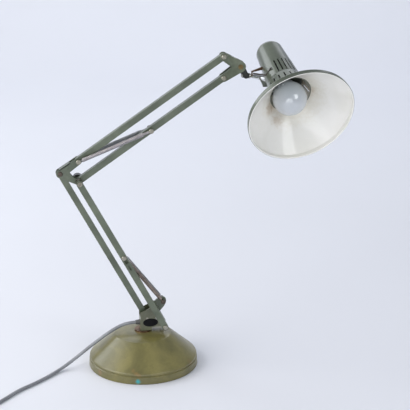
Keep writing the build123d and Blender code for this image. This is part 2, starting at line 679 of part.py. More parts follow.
def head_bracket():
    """Bright saddle: a flared socket on the tube and a tab down the side of the housing."""
    collar = Cone(TUBE_RADIUS + 0.9, TUBE_RADIUS + 1.5, SADDLE_COLLAR, align=STANDING)
    socket = Cone(TUBE_RADIUS + 1.5, 9.5, 14.0, align=STANDING)
    saddle = tube_plane(SADDLE_START) * (collar + Pos(0, 0, SADDLE_COLLAR) * socket)
    tab = side_plate(head_outline(SADDLE_TAB), -SADDLE_HALF_WIDTH, SADDLE_HALF_WIDTH)
    return cut_to_housing(saddle + tab)


def head_stay():
    """Tapered flat stay from the tube's flange to the housing."""
    stay = side_plate(head_outline(STAY_OUTLINE), *STAY_SIDES)
    foot = side_plate(head_outline(STAY_FOOT), *STAY_SIDES)
    return cut_to_housing(stay + foot)


def head_lead():
    """Thin lead from the tube's flange into the front of the housing."""
    places = [(x + HEAD_PIVOT[0], y, z + HEAD_PIVOT[1]) for x, y, z in LEAD_ROUTE]
    route = FilletPolyline(*places, radius=LEAD_BEND)
    lead = sweep(Plane(origin=route @ 0, z_dir=route % 0) * Circle(LEAD_RADIUS), path=route)
    lead -= housing_blank(TOUCHING)
    return lead.solids().sort_by(SortBy.VOLUME)[-1]


# ---------------------------------------------------------------- lamp head, drawn along its own axis
def turned(outline):
    """Solid of revolution about the lamp head's axis; X of the outline is the radius."""
    return HEAD_FRAME * revolve(Plane.XZ * outline, Axis.Z)


def shade_outline():
    """Half section of the spun shade: rolled rim, straight band and dome."""
    wall = SHADE_SHEET
    mouth = SHADE_RADIUS - SHADE_BEAD * 0.4
    dome_middle = (0.745 * SHADE_RADIUS, 0.56 * NECK_START)
    top = NECK_RADIUS + NECK_STEP
    outer = [
        Line((mouth, 0), (mouth, SHADE_BAND)),
        ThreePointArc((mouth, SHADE_BAND), dome_middle, (top, NECK_START)),
        Line((top, NECK_START), (top - wall, NECK_START)),
        ThreePointArc(
            (top - wall, NECK_START),
            (dome_middle[0] - 0.8 * wall, dome_middle[1] - 0.8 * wall),
            (mouth - wall, SHADE_BAND),
        ),
        Line((mouth - wall, SHADE_BAND), (mouth - wall, 0)),
        Line((mouth - wall, 0), (mouth, 0)),
    ]
    return make_face(outer) + Pos(mouth - wall / 2, SHADE_BEAD * 0.6) * Circle(SHADE_BEAD)


def shade():
    """Spun shade with a rolled rim, open at the neck."""
    return turned(shade_outline())


def shade_neck():
    """Tapered neck that stands on the shade, with a foot ring and a row of slots."""
    wall = SHADE_SHEET
    foot = NECK_START + TOUCHING
    end = HOUSING_RADIUS + NECK_OVERHANG
    outline = Polyline(
        (NECK_RADIUS + NECK_STEP, foot),
        (NECK_RADIUS, NECK_START + NECK_STEP),
        (end, NECK_END),
        (end - wall, NECK_END),
        (NECK_RADIUS - wall, NECK_START + NECK_STEP),
        (NECK_RADIUS - wall, foot),
        close=True,
    )
    body = turned(make_face(outline))
    middle = (NECK_SLOT_START + NECK_SLOT_END) / 2
    for index in range(NECK_SLOTS):
        turn = Rot(0, 0, index * 360 / NECK_SLOTS)
        cutter = turn * Pos(NECK_RADIUS, 0, middle) * Box(
            NECK_RADIUS / 2, NECK_SLOT_WIDTH, NECK_SLOT_END - NECK_SLOT_START
        )
        body -= HEAD_FRAME * cutter
    return body


def lamp_housing():
    """Conical housing with a domed back, two groups of vent slots, and holes for tube and switch."""
    wall = HOUSING_SHEET
    dome = (HOUSING_BACK_RADIUS - 4.5, HOUSING_BACK + 8.0)
    hole = BUTTON_RADIUS + 2.0
    outline = make_face([
        Line((HOUSING_RADIUS, HOUSING_START), (HOUSING_BACK_RADIUS, HOUSING_BACK)),
        ThreePointArc((HOUSING_BACK_RADIUS, HOUSING_BACK), dome, (hole, HOUSING_END)),
        Line((hole, HOUSING_END), (hole, HOUSING_END - wall)),
        ThreePointArc(
            (hole, HOUSING_END - wall),
            (dome[0] - wall, dome[1] - wall),
            (HOUSING_BACK_RADIUS - wall, HOUSING_BACK),
        ),
        Line((HOUSING_BACK_RADIUS - wall, HOUSING_BACK), (HOUSING_RADIUS - wall, HOUSING_START)),
        Line((HOUSING_RADIUS - wall, HOUSING_START), (HOUSING_RADIUS, HOUSING_START)),
    ])
    body = turned(outline)
    skirt_outer = HOUSING_RADIUS + NECK_OVERHANG - SHADE_SHEET - TOUCHING
    body += ring(HEAD_FRAME.offset(NECK_END - 5.0), skirt_outer - 0.35, skirt_outer - 1.5, 6.5)
    for group in (0, 180):
        for index in range(VENTS_IN_GROUP):
            turn = group + VENT_TURN + (index - (VENTS_IN_GROUP - 1) / 2) * VENT_PITCH
            cutter = Rot(0, 0, turn) * Pos(HOUSING_RADIUS, 0, VENT_START + VENT_LENGTH / 2)
            body -= HEAD_FRAME * cutter * Box(12.0, VENT_WIDTH, VENT_LENGTH)
    body -= extrude(tube_plane(20) * Circle(TUBE_RADIUS), 30)
    return body


def lamp_axis(distance):
    """Plane across the bulb's own axis, a little to the left of the shade's axis."""
    return HEAD_FRAME * Pos(LAMP_SHIFT, 0, distance)


def bulb_glass():
    """Hollow glass bulb, open at the neck."""
    neck = CAP_RADIUS - 0.6
    flank = math.radians(50)
    wall = BULB_GLASS
    side = (BULB_RADIUS * math.sin(flank), BULB_CENTRE + BULB_RADIUS * math.cos(flank))
    inner_side = (side[0] - wall * math.sin(flank), side[1] - wall * math.cos(flank))
    outline = make_face([
        ThreePointArc((0, BULB_CENTRE - BULB_RADIUS), (BULB_RADIUS, BULB_CENTRE), side),
        Line(side, (neck, CAP_START)),
        Line((neck, CAP_START), (neck, CAP_SHOULDER)),
        Line((neck, CAP_SHOULDER), (neck - wall, CAP_SHOULDER)),
        Line((neck - wall, CAP_SHOULDER), (neck - wall, CAP_START)),
        Line((neck - wall, CAP_START), inner_side),
        ThreePointArc(inner_side, (BULB_RADIUS - wall, BULB_CENTRE), (0, BULB_CENTRE - BULB_RADIUS + wall)),
        Line((0, BULB_CENTRE - BULB_RADIUS + wall), (0, BULB_CENTRE - BULB_RADIUS)),
    ])
    return lamp_axis(0) * revolve(Plane.XZ * outline, Axis.Z)


def bulb_cap():
    """Screw cap of the bulb, with three thread ridges and a centre contact."""
    shell = CAP_RADIUS - 0.6
    height = CAP_END - CAP_SHOULDER
    body = Pos(0, 0, CAP_SHOULDER + height / 2 + TOUCHING) * Cylinder(shell, height)
    skirt_height = CAP_SHOULDER - CAP_START + 2.0
    skirt = ring(Plane.XY.offset(CAP_START + 0.5), CAP_RADIUS, shell + TOUCHING, skirt_height)
    cap = body + skirt + ring(Plane.XY.offset(CAP_SHOULDER + TOUCHING), CAP_RADIUS, shell - 1.0, 2.0)
    for index in range(THREAD_RIDGES):
        cap += Pos(0, 0, CAP_SHOULDER + 5.0 + index * 3.6) * Torus(shell, 0.55)
    cap += Pos(0, 0, CAP_END) * Cone(6.0, 4.0, 3.0, align=STANDING)
    return lamp_axis(0) * cap


def lampholder():
    """Cup that the bulb screws into, with a closed back."""
    mouth = CAP_START + 2.0
    cup = ring(Plane.XY.offset(mouth), HOLDER_RADIUS, CAP_RADIUS + 0.25, HOLDER_END - mouth)
    floor = CAP_END + 3.0
    back = Pos(0, 0, floor) * Cylinder(HOLDER_RADIUS, HOLDER_END - floor, align=STANDING)
    return lamp_axis(0) * (cup + back)


def holder_bridge():
    """Round bridge plate that fixes the lampholder inside the housing."""
    share = (HOLDER_END + BRIDGE_THICKNESS - HOUSING_START) / (HOUSING_BACK - HOUSING_START)
    wall_radius = HOUSING_RADIUS + (HOUSING_BACK_RADIUS - HOUSING_RADIUS) * share
    radius = wall_radius - HOUSING_SHEET - TOUCHING
    plate = extrude(HEAD_FRAME.offset(HOLDER_END) * Circle(radius), BRIDGE_THICKNESS)
    for turn in (30, 150, 270):
        plate -= HEAD_FRAME * Rot(0, 0, turn) * Pos(radius - 6.0, 0, HOLDER_END) * Cylinder(2.5, 8.0)
    return plate


def switch_body():
    """Push switch inside the back of the housing, with the threaded ring outside."""
    hole = BUTTON_RADIUS + 2.0
    bore = BUTTON_RADIUS + 0.1
    inner_end = HEAD_FRAME.offset(HOUSING_END - SWITCH_DEPTH)
    case = ring(inner_end, hole + 1.5, bore, SWITCH_CASE)
    floor = extrude(inner_end * Circle(hole + 1.5), 2.0)
    sleeve_length = SWITCH_SLEEVE + SWITCH_NUT
    sleeve = ring(HEAD_FRAME.offset(HOUSING_END - SWITCH_SLEEVE), hole - TOUCHING, bore, sleeve_length)
    nut = ring(HEAD_FRAME.offset(HOUSING_END + TOUCHING), hole + 2.0, hole - 0.5, SWITCH_NUT)
    return case + floor + sleeve + nut


def switch_button():
    """Button that slides into the switch."""
    inner_end = HEAD_FRAME.offset(HOUSING_END - BUTTON_INSIDE)
    cap = extrude(inner_end * Circle(BUTTON_RADIUS), BUTTON_INSIDE + 2.5 + BUTTON_TRAVEL)
    rim = cap.edges().filter_by(GeomType.CIRCLE)
    outer = max(rim, key=lambda edge: (edge.center() - Vector(*RIM_CENTRE)).dot(RIM_TO_REAR))
    return fillet(outer, 1.5)


# ---------------------------------------------------------------- power cord
CORD_ROUTE = (
    (BRACKET_BACK_X - GLAND_LENGTH, 0, GLAND_HEIGHT),
    (-32.0, 0, GLAND_HEIGHT),
    (-58.0, 0, 67.5),
    (-88.0, 0, 46.5),
    (-119.0, -1.0, 23.0),
    (-148.0, -8.0, 4.5),
    (-178.0, -39.5, CORD_RADIUS),
    (-206.0, -66.0, CORD_RADIUS),
    (-235.0, -88.5, CORD_RADIUS),
    (-262.0, -121.0, CORD_RADIUS),
    (-283.0, -143.0, CORD_RADIUS),
    (-310.0, -147.5, CORD_RADIUS),
    (CORD_COIL_CENTRE[0], CORD_COIL_CENTRE[1] + CORD_COIL_OUTER_TURN, CORD_RADIUS),
)


def route_radii(points):
    """Bend radius at each inner point of a route: most of what its shorter run allows."""
    radii = []
    for before, here, after in zip(points, points[1:], points[2:]):
        first = Vector(*here) - Vector(*before)
        second = Vector(*after) - Vector(*here)
        half_turn = math.radians(first.get_angle(second)) / 2
        radii.append(0.45 * min(first.length, second.length) / math.tan(half_turn))
    return radii


def power_cord():
    """The cord from the gland over the base and along the table to its coil."""
    route = FilletPolyline(*CORD_ROUTE, radius=route_radii(CORD_ROUTE))
    return sweep(Plane(origin=route @ 0, z_dir=route % 0) * Circle(CORD_RADIUS), path=route)


def cord_coil():
    """Outer shape of the put-away turns of the cord."""
    inner = CORD_COIL_RADIUS - CORD_COIL_WIDTH / 2
    outer = CORD_COIL_RADIUS + CORD_COIL_WIDTH / 2
    coil = ring(Plane.XY, outer, inner, CORD_COIL_HEIGHT)
    coil = fillet(coil.edges(), CORD_RADIUS)
    return Pos(*CORD_COIL_CENTRE, 0) * coil


def plug_body():
    """Plug lying on the table beside the coil."""
    block = Pos(0, 0, PLUG_HEIGHT / 2) * Box(PLUG_LENGTH, PLUG_WIDTH, PLUG_HEIGHT)
    block = fillet(block.edges().filter_by(Axis.X), PLUG_HEIGHT / 4)
    relief = Cone(CORD_RADIUS + 3.0, CORD_RADIUS + 0.6, PLUG_RELIEF, align=STANDING)
    return plug_place() * (block + Pos(PLUG_LENGTH / 2, 0, PLUG_HEIGHT / 2) * Rot(0, 90, 0) * relief)


def plug_pins():
    """Two round pins of the plug."""
    pins = []
    for side in (-9.5, 9.5):
        blade = Rot(0, -90, 0) * Cylinder(2.0, 19.0, align=STANDING)
        pins.append(plug_place() * Pos(-PLUG_LENGTH / 2, side, PLUG_HEIGHT / 2) * blade)
    return Compound(children=pins)


def plug_place():
    """Where the plug lies: beside the coil, with its pins toward -Y."""
    side = CORD_COIL_CENTRE[0] - CORD_COIL_OUTER_TURN
    back = CORD_COIL_CENTRE[1] - CORD_COIL_OUTER_TURN
    return Pos(side, back - PLUG_LENGTH / 2, 0) * Rot(0, 0, 90)


# ---------------------------------------------------------------- the whole lamp
def base_nodes():
    """Base, turning bracket and what is fixed to them."""
    return {
        "base_shell": base_shell(),
        "base_ballast": base_ballast(),
        "base_pad": base_pad(),
        "bearing_tube": bearing_tube(),
        "collar_washer": collar_washer(),
        "base_collar": base_collar(),
        "swivel_spindle": swivel_spindle(),
        "base_bracket": base_bracket(),
        "spring_ear": spring_ear(),
        "ear_rivets": ear_rivets(),
        "label_plate": label_plate(),
        "cord_gland": cord_gland(),
        "lower_rear_pin": pin(REAR_PIVOT, -BRACKET_HALF_WIDTH, BRACKET_HALF_WIDTH, near_head=False),
        "lower_front_pin": pin(FRONT_PIVOT, FRONT_BAR_NEAR_Y - FACE_GAP, BRACKET_HALF_WIDTH),
        "front_washer": front_washer(),
        "lower_spring_pin": pin(LOWER_SPRING_PIVOT, -LOWER_SPRING_Y - 1.5, LOWER_SPRING_Y + 1.5),
    }


def arm_nodes():
    """Both arms, their plates, pins and knobs."""
    return {
        "lower_rear_bar": lower_rear_bar(),
        "lower_front_bar": lower_front_bar(),
        "lower_hook_pin": pin(LOWER_HOOK_PIVOT, FRONT_BAR_NEAR_Y, LOWER_SPRING_Y + 1.5),
        "elbow_plate": elbow_plate(),
        "elbow_rear_pin": pin(ELBOW_REAR, -PLATE_HALF_WIDTH, PLATE_HALF_WIDTH),
        "elbow_top_pin": pin(ELBOW_TOP, -UPPER_SPRING_Y - 1.5, UPPER_SPRING_Y + 1.5),
        "elbow_front_pin": knob_pin(ELBOW_FRONT, FRONT_BAR_NEAR_Y - FACE_GAP),
        "elbow_spacer": elbow_spacer(),
        "elbow_knob": elbow_knob(),
        "upper_top_bar": upper_top_bar(),
        "upper_lower_bar": upper_lower_bar(),
        "upper_hook_pin": pin(UPPER_HOOK_PIVOT, -UPPER_SPRING_Y - 1.5, UPPER_SPRING_Y + 1.5),
        "head_plate": head_plate(),
        "head_top_pin": pin(HEAD_TOP, -PLATE_HALF_WIDTH, PLATE_HALF_WIDTH),
        "head_low_pin": pin(HEAD_LOW, -PLATE_HALF_WIDTH, PLATE_HALF_WIDTH),
        "head_screw": knob_pin(HEAD_PIVOT, -PLATE_HALF_WIDTH),
        "head_knob": head_knob(),
    }


def head_nodes():
    """Everything that tilts with the shade."""
    return {
        "tilt_block": tilt_block(),
        "swivel_tube": swivel_tube(),
        "head_bracket": head_bracket(),
        "head_stay": head_stay(),
        "head_lead": head_lead(),
        "shade": shade(),
        "shade_neck": shade_neck(),
        "lamp_housing": lamp_housing(),
        "lampholder": lampholder(),
        "holder_bridge": holder_bridge(),
        "bulb_glass": bulb_glass(),
        "bulb_cap": bulb_cap(),
        "switch_body": switch_body(),
        "switch_button": switch_button(),
    }


def cord_nodes():
    """Power cord and plug."""
    return {
        "power_cord": power_cord(),
        "cord_coil": cord_coil(),
        "plug_body": plug_body(),
        "plug_pins": plug_pins(),
    }


def all_nodes():
    """Every sub-part by the name of its node."""
    lower = spring_set("lower", LOWER_SPRING_PIVOT, LOWER_HOOK_PIVOT, LOWER_SPRING_Y, LOWER_COIL_LENGTH)
    upper = spring_set("upper", ELBOW_TOP, UPPER_HOOK_PIVOT, UPPER_SPRING_Y, UPPER_COIL_LENGTH)
    return {**base_nodes(), **arm_nodes(), **head_nodes(), **cord_nodes(), **lower, **upper}


os.makedirs("parts", exist_ok=True)
for name, shape in all_nodes().items():
    export_step(shape, f"parts/{name}.step")
    box = shape.bounding_box()
    print(name, len(shape.solids()), round(shape.volume, 1), tuple(box.min), tuple(box.max))
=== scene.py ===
import math

import bmesh
import bpy
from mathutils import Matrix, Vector


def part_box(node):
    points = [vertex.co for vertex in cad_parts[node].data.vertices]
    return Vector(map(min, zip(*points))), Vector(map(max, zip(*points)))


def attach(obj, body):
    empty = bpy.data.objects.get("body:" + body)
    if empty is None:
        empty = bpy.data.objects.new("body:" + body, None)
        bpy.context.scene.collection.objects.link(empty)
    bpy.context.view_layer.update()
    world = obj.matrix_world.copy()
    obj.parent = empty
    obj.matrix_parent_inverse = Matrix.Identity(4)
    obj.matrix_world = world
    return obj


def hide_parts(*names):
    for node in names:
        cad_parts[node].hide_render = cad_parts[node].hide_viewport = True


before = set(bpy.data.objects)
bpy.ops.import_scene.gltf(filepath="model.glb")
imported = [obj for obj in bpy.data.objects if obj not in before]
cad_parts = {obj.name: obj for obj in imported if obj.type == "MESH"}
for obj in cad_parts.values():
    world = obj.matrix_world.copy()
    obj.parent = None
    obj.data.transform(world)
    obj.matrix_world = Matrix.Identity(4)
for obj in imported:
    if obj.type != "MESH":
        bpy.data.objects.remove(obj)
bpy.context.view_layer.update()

MM = 0.001


# ---------------------------------------------------------------- camera
CAMERA_AZIMUTH = math.radians(-10.1)
CAMERA_ELEVATION = math.radians(18.3)
CAMERA_DISTANCE = 2.6
CAMERA_TARGET = Vector((0.1162, 0.0, 0.2999))
CAMERA_LENS = 126.4


def camera_back():
    """Unit vector from what the camera looks at toward the camera."""
    flat = math.cos(CAMERA_ELEVATION)
    return Vector((
        math.sin(CAMERA_AZIMUTH) * flat,
        -math.cos(CAMERA_AZIMUTH) * flat,
        math.sin(CAMERA_ELEVATION),
    ))


def make_camera():
    data = bpy.data.cameras.new("camera")
    data.lens = CAMERA_LENS
    data.sensor_width = 36.0
    data.clip_end = 50.0
    camera = bpy.data.objects.new("camera", data)
    camera.location = CAMERA_TARGET + camera_back() * CAMERA_DISTANCE
    camera.rotation_euler = camera_back().to_track_quat("Z", "Y").to_euler()
    bpy.context.scene.collection.objects.link(camera)
    bpy.context.scene.camera = camera


make_camera()


# ---------------------------------------------------------------- power cord
CORD_DIAMETER = 6.0 * MM
CORD_REST = CORD_DIAMETER / 2
CORD_EXIT = (-0.0135, 0.0, 0.0805)
COIL_CENTRE = (-0.338, -0.186)
COIL_OUTER_TURN = 0.039
COIL_TURN_STEP = 0.0062
COIL_LAYER_STEP = 0.006
COIL_POINTS_PER_TURN = 14
WHOLE_LAYER = 2.0
LAST_LAYER = 2.25
PLUG_SOCKET = (-0.377, -0.203, 0.014)

CORD_ROUTE = (
    CORD_EXIT,
    (-0.032, 0.0, 0.0805),
    (-0.058, 0.0, 0.0675),
    (-0.088, 0.0, 0.0465),
    (-0.119, -0.001, 0.023),
    (-0.148, -0.008, 0.0045),
    (-0.178, -0.0395, CORD_REST),
    (-0.206, -0.066, CORD_REST),
    (-0.235, -0.0885, CORD_REST),
    (-0.262, -0.121, CORD_REST),
    (-0.283, -0.143, CORD_REST),
    (-0.310, -0.1475, CORD_REST),
)


def coil_points():
    """The put-away turns: in along the table, out on top of them, in again, then over to the plug."""
    points = []
    inner_turn = COIL_OUTER_TURN - WHOLE_LAYER * COIL_TURN_STEP
    layers = (
        (COIL_OUTER_TURN, -1, WHOLE_LAYER),
        (inner_turn, 1, WHOLE_LAYER),
        (COIL_OUTER_TURN, -1, LAST_LAYER),
    )
    angle = math.radians(90)
    step = math.radians(360 / COIL_POINTS_PER_TURN)
    for layer, (start_radius, inward, turns) in enumerate(layers):
        count = round(turns * COIL_POINTS_PER_TURN)
        for index in range(count):
            share = index / COIL_POINTS_PER_TURN
            radius = start_radius + inward * COIL_TURN_STEP * share
            height = CORD_REST + layer * COIL_LAYER_STEP
            points.append((
                COIL_CENTRE[0] + radius * math.cos(angle),
                COIL_CENTRE[1] + radius * math.sin(angle),
                height,
            ))
            angle += step
    return points


def add_spline(name, points, bevel):
    """Round smooth curve through the hull of its control points."""
    data = bpy.data.curves.new(name, "CURVE")
    data.dimensions = "3D"
    data.bevel_depth = bevel
    data.bevel_resolution = 6
    data.resolution_u = 10
    data.use_fill_caps = True
    spline = data.splines.new("NURBS")
    spline.points.add(len(points) - 1)
    for target, place in zip(spline.points, points):
        target.co = (*place, 1.0)
    spline.order_u = 3
    spline.use_endpoint_u = True
    piece = bpy.data.objects.new(name, data)
    bpy.context.scene.collection.objects.link(piece)
    return piece


def make_cord():
    tail = [
        (PLUG_SOCKET[0], PLUG_SOCKET[1] + 0.016, PLUG_SOCKET[2] + 0.001),
        PLUG_SOCKET,
    ]
    cord = add_spline("mains_cord", [*CORD_ROUTE, *coil_points(), *tail], CORD_REST)
    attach(cord, "stand")
    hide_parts("power_cord", "cord_coil")
    return cord


# ---------------------------------------------------------------- node trees
class Shader:
    """One procedural material: a principled shader and the nodes that feed it, in object space."""

    def __init__(self, name):
        self.material = bpy.data.materials.new(name)
        self.material.use_nodes = True
        self.tree = self.material.node_tree
        self.tree.nodes.clear()
        self.surface = self.add("ShaderNodeBsdfPrincipled")
        self.output = self.add("ShaderNodeOutputMaterial")
        self.join(self.surface.outputs[0], self.output.inputs["Surface"])
        self.where = self.add("ShaderNodeTexCoord").outputs["Object"]

    def add(self, kind, **settings):
        node = self.tree.nodes.new(kind)
        for key, value in settings.items():
            setattr(node, key, value)
        return node

    def join(self, source, target):
        self.tree.links.new(source, target)

    def feed(self, node, socket, value):
        if isinstance(value, bpy.types.NodeSocket):
            self.join(value, node.inputs[socket])
        else:
            node.inputs[socket].default_value = value

    def set(self, socket, value):
        self.feed(self.surface, socket, value)

    def stretched(self, scale):
        """Object coordinates scaled differently along X, Y and Z."""
        node = self.add("ShaderNodeMapping")
        self.join(self.where, node.inputs["Vector"])
        node.inputs["Scale"].default_value = scale
        return node.outputs[0]

    def noise(self, scale, detail=4.0, rough=0.55, distortion=0.0, vector=None):
        node = self.add("ShaderNodeTexNoise")
        self.join(vector or self.where, node.inputs["Vector"])
        self.feed(node, "Scale", scale)
        self.feed(node, "Detail", detail)
        self.feed(node, "Roughness", rough)
        self.feed(node, "Distortion", distortion)
        return node.outputs["Fac"]

    def ramp(self, value, low, high, smooth=True):
        """0 below low, 1 above high."""
        node = self.add("ShaderNodeMapRange", interpolation_type="SMOOTHSTEP" if smooth else "LINEAR")
        self.feed(node, "Value", value)
        self.feed(node, "From Min", low)
        self.feed(node, "From Max", high)
        return node.outputs["Result"]

    def between(self, value, low, high):
        """A value of 0 to 1 spread over a range."""
        node = self.add("ShaderNodeMapRange")
        self.feed(node, "Value", value)
        self.feed(node, "To Min", low)
        self.feed(node, "To Max", high)
        return node.outputs["Result"]

    def math(self, operation, first, second=0.0):
        node = self.add("ShaderNodeMath", operation=operation)
        self.feed(node, 0, first)
        self.feed(node, 1, second)
        return node.outputs[0]

    def mix(self, share, first, second, blend="MIX"):
        node = self.add("ShaderNodeMix", data_type="RGBA", blend_type=blend)
        self.feed(node, 0, share)
        for socket, value in ((6, first), (7, second)):
            if isinstance(value, bpy.types.NodeSocket):
                self.join(value, node.inputs[socket])
            else:
                node.inputs[socket].default_value = (*value, 1.0)
        return node.outputs[2]

    def grey(self, value):
        """One value as a colour."""
        node = self.add("ShaderNodeCombineColor")
        for socket in ("Red", "Green", "Blue"):
            self.feed(node, socket, value)
        return node.outputs[0]

    def edges(self, radius, low, high):
        """1 on convex and concave edges of about that radius, 0 on flat and gently curved faces."""
        bevel = self.add("ShaderNodeBevel", samples=6)
        self.feed(bevel, "Radius", radius)
        geometry = self.add("ShaderNodeNewGeometry")
        dot = self.add("ShaderNodeVectorMath", operation="DOT_PRODUCT")
        self.join(bevel.outputs[0], dot.inputs[0])
        self.join(geometry.outputs["Normal"], dot.inputs[1])
        turned = self.math("SUBTRACT", 1.0, dot.outputs["Value"])
        return self.ramp(turned, low, high)

    def near(self, spot, radius, soft):
        """1 inside a blob round a point, 0 outside it."""
        node = self.add("ShaderNodeVectorMath", operation="DISTANCE")
        self.join(self.where, node.inputs[0])
        node.inputs[1].default_value = spot
        gap = node.outputs["Value"]
        ragged = self.math("ADD", gap, self.between(self.noise(160.0, 5.0), -soft, soft))
        return self.math("SUBTRACT", 1.0, self.ramp(ragged, radius - soft, radius + soft))

    def height(self, value):
        node = self.add("ShaderNodeSeparateXYZ")
        self.join(self.where, node.inputs[0])
        return self.math("ADD", node.outputs["Z"], value)

    def bumps(self, value, distance, strength=1.0, edge_radius=0.0):
        """Surface relief from a height value, over normals that are rounded at the edges."""
        node = self.add("ShaderNodeBump")
        self.feed(node, "Height", value)
        self.feed(node, "Distance", distance)
        self.feed(node, "Strength", strength)
        if edge_radius:
            bevel = self.add("ShaderNodeBevel", samples=6)
            self.feed(bevel, "Radius", edge_radius)
            self.join(bevel.outputs[0], node.inputs["Normal"])
        self.join(node.outputs[0], self.surface.inputs["Normal"])


def worn_paint(name, light, dark, chip, wear, rust, edge_radius=0.0004, gloss=0.28, coat=0.14):
    """Old enamel: mottled colour, fine specks, chipped edges that show primer and rust."""
    s = Shader(name)
    patches = s.ramp(s.noise(14.0, 6.0, 0.6, 0.4), 0.36, 0.66)
    colour = s.mix(patches, dark, light)
    grime = s.ramp(s.noise(55.0, 8.0, 0.7), 0.52, 0.74)
    colour = s.mix(s.math("MULTIPLY", grime, 0.35), colour, tuple(part * 0.62 for part in dark))
    specks = s.ramp(s.noise(520.0, 3.0, 0.6), 0.66 - 0.05 * wear, 0.74)
    colour = s.mix(s.math("MULTIPLY", specks, 0.5), colour, tuple(part * 0.4 for part in dark))
    pale = s.ramp(s.noise(310.0, 5.0, 0.7, 0.3), 0.67, 0.75)
    colour = s.mix(s.math("MULTIPLY", pale, 0.45), colour, tuple(min(1.0, part * 1.7) for part in light))
    grain = s.between(s.noise(260.0, 9.0, 0.9), 0.68, 1.32)
    colour = s.mix(1.0, colour, s.grey(grain), "MULTIPLY")
    edge = s.edges(edge_radius, 0.02, 0.16)
    torn = s.ramp(s.noise(230.0, 8.0, 0.75), 0.62 - 0.14 * wear, 0.70 - 0.10 * wear)
    chipped = s.math("MULTIPLY", edge, torn)
    spots = s.ramp(s.noise(95.0, 9.0, 0.8, 0.8), 0.735 - 0.04 * wear, 0.76 - 0.04 * wear)
    bare = s.math("MAXIMUM", chipped, spots)
    rusty = s.ramp(s.noise(340.0, 6.0, 0.7), 0.62 - 0.2 * rust, 0.72 - 0.2 * rust)
    metal = s.mix(rusty, chip, (0.17, 0.075, 0.03))
    s.set("Base Color", s.mix(bare, colour, metal))
    rough = s.between(s.noise(40.0, 6.0, 0.65), gloss - 0.08, gloss + 0.16)
    s.set("Roughness", s.math("ADD", rough, s.math("MULTIPLY", bare, 0.25)))
    s.set("Metallic", s.math("MULTIPLY", bare, 0.35))
    s.set("Specular IOR Level", 0.55)
    s.set("Coat Weight", 0.45)
    s.set("Coat Roughness", coat)
    orange_peel = s.math("MULTIPLY", s.noise(700.0, 2.0), 0.25)
    relief = s.math("SUBTRACT", s.math("ADD", orange_peel, s.noise(60.0, 3.0)), s.math("MULTIPLY", bare, 1.2))
    s.bumps(relief, 0.00009, 0.7, edge_radius)
    return s


def metal(name, light, dark, rust, rough, stretch=(1.0, 1.0, 1.0), grain=900.0, edge_radius=0.0003):
    """Bare or plated metal: brushed grain, tarnish and rust specks."""
    s = Shader(name)
    grained = s.noise(grain, 4.0, 0.6, 0.0, s.stretched(stretch))
    tarnish = s.ramp(s.noise(90.0, 7.0, 0.7, 0.5), 0.42, 0.68)
    colour = s.mix(tarnish, light, dark)
    colour = s.mix(s.ramp(grained, 0.35, 0.75), colour, tuple(part * 0.72 for part in light))
    rusty = s.ramp(s.noise(420.0, 9.0, 0.75, 0.6), 0.74 - 0.26 * rust, 0.80 - 0.22 * rust)
    s.set("Base Color", s.mix(rusty, colour, s.mix(s.noise(800.0), (0.10, 0.045, 0.02), (0.30, 0.13, 0.05))))
    s.set("Metallic", s.math("SUBTRACT", 1.0, s.math("MULTIPLY", rusty, 0.9)))
    spread = s.between(tarnish, rough - 0.06, rough + 0.14)
    s.set("Roughness", s.math("ADD", spread, s.math("MULTIPLY", rusty, 0.35)))
    s.set("Anisotropic", 0.25)
    s.bumps(s.math("ADD", grained, s.math("MULTIPLY", rusty, 1.6)), 0.00005, 0.6, edge_radius)
    return s


def plastic(name, light, dark, rough, grain=600.0, scuffs=0.4, edge_radius=0.0005):
    """Moulded plastic or rubber with dust and fine scuffs."""
    s = Shader(name)
    cloud = s.ramp(s.noise(45.0, 6.0, 0.65), 0.35, 0.7)
    colour = s.mix(cloud, dark, light)
    dusty = s.ramp(s.noise(210.0, 8.0, 0.75, 0.4), 0.60, 0.78)
    colour = s.mix(s.math("MULTIPLY", dusty, scuffs), colour, (0.34, 0.33, 0.30))
    s.set("Base Color", colour)
    spread = s.between(s.noise(120.0, 5.0), rough - 0.06, rough + 0.1)
    s.set("Roughness", s.math("ADD", spread, s.math("MULTIPLY", dusty, 0.2)))
    s.set("Specular IOR Level", 0.5)
    s.bumps(s.noise(grain, 4.0, 0.6), 0.00006, 0.5, edge_radius)
    return s


# ---------------------------------------------------------------- materials
BASE_LIGHT = (0.205, 0.180, 0.056)
BASE_DARK = (0.122, 0.110, 0.034)
BRACKET_LIGHT = (0.165, 0.172, 0.105)
BRACKET_DARK = (0.092, 0.098, 0.056)
HEAD_LIGHT = (0.102, 0.120, 0.088)
HEAD_DARK = (0.064, 0.077, 0.054)
ARM_LIGHT = (0.128, 0.152, 0.102)
ARM_DARK = (0.076, 0.094, 0.060)
BARE = (0.48, 0.47, 0.44)
BASE_PRIMER = (0.42, 0.36, 0.20)
THROAT = (0.253, -0.050, 0.522)

# Place and radius of each scorched patch inside the shade
SCORCHES = (
    ((0.2209, -0.0665, 0.4986), 0.011),
    ((0.2278, -0.0413, 0.5073), 0.012),
    ((0.2192, -0.0676, 0.4898), 0.010),
    ((0.2323, -0.0625, 0.4688), 0.008),
    ((0.2820, -0.0446, 0.5295), 0.010),
    ((0.2897, -0.0665, 0.5214), 0.009),
    ((0.2800, -0.0400, 0.5333), 0.009),
)


